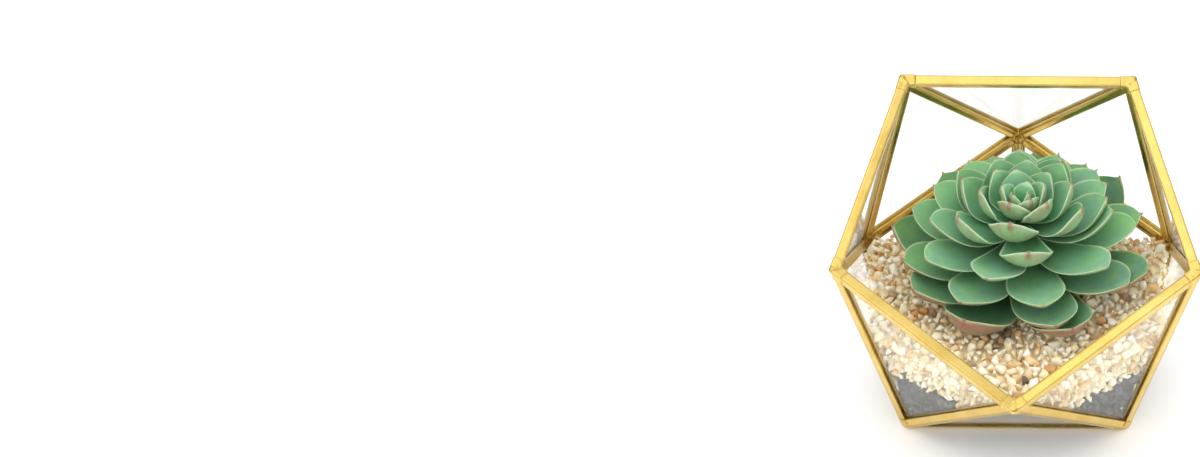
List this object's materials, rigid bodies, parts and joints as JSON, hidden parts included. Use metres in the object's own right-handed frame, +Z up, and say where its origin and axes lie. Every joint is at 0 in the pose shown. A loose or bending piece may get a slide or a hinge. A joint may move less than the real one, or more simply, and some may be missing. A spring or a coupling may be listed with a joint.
{
  "type": "glass plant terrarium",
  "caption": "Open geometric glass terrarium in brass strips, standing on a flat base and planted with a rosette succulent in pale gravel over dark drainage pebbles.",
  "frame": {"origin": "on the surface the terrarium stands on, under the middle of its whole outline", "axes": "+Z up; -Y is the front, where the five-sided opening leans towards the viewer; +X to the viewer's right"},
  "size_m": [0.1498, 0.1724, 0.1445],
  "materials": {
    "brass": "polished brass strips with softly rounded edges and soldered corners",
    "glass": "clear flat sheet glass",
    "gravel": "loose angular grains in cream, peach and ochre, dull",
    "pebble": "loose dark slate-grey drainage stones, dull",
    "leaf": "fleshy grey-green leaves with pale margins, reddish tips and a waxy bloom"
  },
  "bodies": {
    "root": {"rim_top": "brass", "rim_upper_right": "brass", "rim_lower_right": "brass", "rim_lower_left": "brass", "rim_upper_left": "brass", "strip_top_left": "brass", "strip_top_right": "brass", "strip_upper_left": "brass", "strip_upper_right": "brass", "strip_side_left": "brass", "strip_side_right": "brass", "strip_lower_left": "brass", "strip_lower_right": "brass", "strip_front_left": "brass", "strip_front_right": "brass", "strip_back_left": "brass", "strip_back_right": "brass", "strip_foot_left": "brass", "strip_foot_right": "brass", "strip_rear_left": "brass", "strip_rear_right": "brass", "strip_rear_middle": "brass", "base_strip_front": "brass", "base_strip_left": "brass", "base_strip_right": "brass", "pane_base": "glass", "pane_front": "glass", "pane_front_left": "glass", "pane_front_right": "glass", "pane_side_left": "glass", "pane_side_right": "glass", "pane_upper_left": "glass", "pane_upper_right": "glass", "pane_back_left": "glass", "pane_back_right": "glass", "pane_top_back": "glass", "pane_rear_left": "glass", "pane_rear_right": "glass", "pane_foot_left": "glass", "pane_foot_right": "glass", "gravel": "gravel", "drainage_pebbles": "pebble", "rosette_heart": "leaf", "leaf_01": "leaf", "leaf_02": "leaf", "leaf_03": "leaf", "leaf_04": "leaf", "leaf_05": "leaf", "leaf_06": "leaf", "leaf_07": "leaf", "leaf_08": "leaf", "leaf_09": "leaf", "leaf_10": "leaf", "leaf_11": "leaf", "leaf_12": "leaf", "leaf_13": "leaf", "leaf_14": "leaf", "leaf_15": "leaf", "leaf_16": "leaf", "leaf_17": "leaf"}
  },
  "joints": []
}
